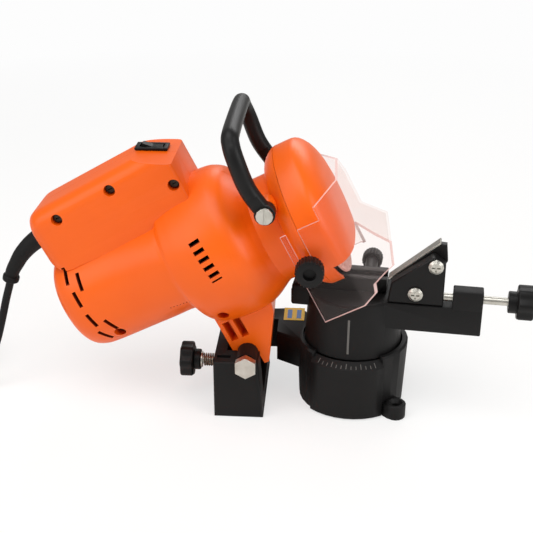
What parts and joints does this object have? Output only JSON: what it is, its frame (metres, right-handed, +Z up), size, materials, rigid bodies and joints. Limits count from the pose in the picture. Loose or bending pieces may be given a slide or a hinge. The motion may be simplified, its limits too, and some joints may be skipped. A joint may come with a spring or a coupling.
{
  "type": "electric chainsaw sharpener",
  "caption": "Bench-mounted electric grinder that sharpens saw chain: a tilting motor head with a guarded wheel over a turntable with a chain vise and a stop.",
  "frame": {"origin": "middle of the sharpener's box without its cord, on the bench", "axes": "+X from the motor towards the chain stop, +Y away from the operator, +Z up"},
  "size_m": [0.6179, 0.1664, 0.2421],
  "materials": {
    "black_casting": "fine texture",
    "black_plastic": "satin",
    "black_rubber": "matt",
    "orange_abs": "soft gloss",
    "zinc_steel": "zinc plated",
    "bright_steel": "machined",
    "dark_steel": "blackened",
    "pink_abrasive": "gritty",
    "clear_polycarbonate": "clear"
  },
  "bodies": {
    "base": {"base_casting": "black_casting", "hinge_bolt": "zinc_steel", "hinge_nut": "zinc_steel", "depth_nut": "zinc_steel", "depth_spring": "zinc_steel", "pivot_bolt": "zinc_steel", "pivot_nut": "zinc_steel", "cord_lead": "black_rubber", "cord_coil": "black_rubber", "plug": "black_rubber"},
    "head": {"housing_near": "orange_abs", "housing_far": "orange_abs", "housing_screw_1": "dark_steel", "housing_screw_2": "dark_steel", "housing_screw_3": "dark_steel", "housing_screw_4": "dark_steel", "housing_screw_5": "dark_steel", "switch_bezel": "black_plastic", "motor_stator": "dark_steel", "rear_bearing": "bright_steel", "front_bearing": "bright_steel", "guard_rear": "orange_abs", "guard_cover": "orange_abs", "handle": "black_plastic", "handle_screw_near": "zinc_steel", "handle_screw_far": "zinc_steel", "cord_sleeve": "black_rubber"},
    "spindle": {"armature_shaft": "bright_steel", "cooling_fan": "black_plastic", "inner_flange": "zinc_steel", "grinding_wheel": "pink_abrasive", "outer_flange": "zinc_steel", "wheel_nut": "zinc_steel"},
    "rocker": {"switch_rocker": "black_plastic"},
    "shield": {"shield": "clear_polycarbonate"},
    "knob_near": {"shield_knob_near": "black_plastic"},
    "knob_far": {"shield_knob_far": "black_plastic"},
    "turntable": {"turntable": "black_casting", "fixed_jaw": "black_plastic"},
    "jaw": {"moving_jaw": "black_plastic"},
    "clamp": {"clamp_screw": "zinc_steel", "clamp_knob": "black_plastic"},
    "carriage": {"stop_carriage": "black_plastic", "pawl_screw": "zinc_steel", "carriage_screw": "zinc_steel"},
    "stop": {"stop_screw": "zinc_steel", "stop_knob": "black_plastic"},
    "pawl": {"pawl_lever": "black_plastic", "pawl_plate": "bright_steel"},
    "depth_washer": {"depth_washer": "zinc_steel"},
    "depth_screw": {"depth_screw": "zinc_steel", "depth_knob": "black_plastic"}
  },
  "joints": [
    {"name": "head_tilt", "type": "hinge", "parent": "base", "child": "head", "pos_m": [-0.00785, 0, 0.049], "axis": [0, 1, 0], "range_deg": [-18, 0], "deforming": ["cord_lead"]},
    {"name": "wheel_spin", "type": "hinge", "parent": "head", "child": "spindle", "pos_m": [-0.04326, 0, 0.1185], "axis": [0.891, 0, 0.454], "continuous": true},
    {"name": "rocker_tilt", "type": "hinge", "parent": "head", "child": "rocker", "pos_m": [-0.08335, 0.007, 0.20751], "axis": [0, 1, 0], "range_deg": [-18, 0]},
    {"name": "shield_slide", "type": "slide", "parent": "head", "child": "shield", "axis": [-0.454, 0, 0.891], "range_m": [0, 0.008]},
    {"name": "knob_near_turn", "type": "hinge", "parent": "head", "child": "knob_near", "pos_m": [0.0411, 0, 0.14061], "axis": [0, 1, 0], "range_deg": [0, 180]},
    {"name": "knob_far_turn", "type": "hinge", "parent": "head", "child": "knob_far", "pos_m": [0.0411, 0, 0.14061], "axis": [0, 1, 0], "range_deg": [-180, 0]},
    {"name": "turntable_turn", "type": "hinge", "parent": "base", "child": "turntable", "pos_m": [0.07615, 0, 0], "axis": [0, 0, 1], "range_deg": [-28.3, 41.7]},
    {"name": "clamp_turn", "type": "hinge", "parent": "turntable", "child": "clamp", "pos_m": [0.08658, -0.00122, 0.1038], "axis": [0.1167, 0.9932, 0], "range_deg": [-293, 725]},
    {"name": "jaw_slide", "type": "slide", "parent": "turntable", "child": "jaw", "axis": [0.1167, 0.9932, 0], "range_m": [-0.002, 0.0008]},
    {"name": "stop_turn", "type": "hinge", "parent": "carriage", "child": "stop", "pos_m": [0.07402, -0.01818, 0.1035], "axis": [0.9932, -0.1167, 0], "range_deg": [-365, 2345]},
    {"name": "stop_slide", "type": "slide", "parent": "turntable", "child": "carriage", "axis": [0.9932, -0.1167, 0], "range_m": [-0.001, 0.0065]},
    {"name": "pawl_swing", "type": "hinge", "parent": "carriage", "child": "pawl", "pos_m": [0.13892, -0.00737, 0.1308], "axis": [0.1167, 0.9932, 0], "range_deg": [0, 5]},
    {"name": "depth_turn", "type": "hinge", "parent": "depth_washer", "child": "depth_screw", "pos_m": [-0.05, -0.014, 0.0336], "axis": [1, 0, 0], "range_deg": [-2165, 5]},
    {"name": "depth_slide", "type": "slide", "parent": "base", "child": "depth_washer", "axis": [1, 0, 0], "range_m": [-0.006, 0], "deforming": ["depth_spring"]}
  ],
  "couplings": [
    {"joint": "clamp_turn", "follows": "jaw_slide", "rad_per_m": -6283.2},
    {"joint": "stop_turn", "follows": "stop_slide", "rad_per_m": 6283.2},
    {"joint": "depth_turn", "follows": "depth_slide", "rad_per_m": 6283.2}
  ]
}
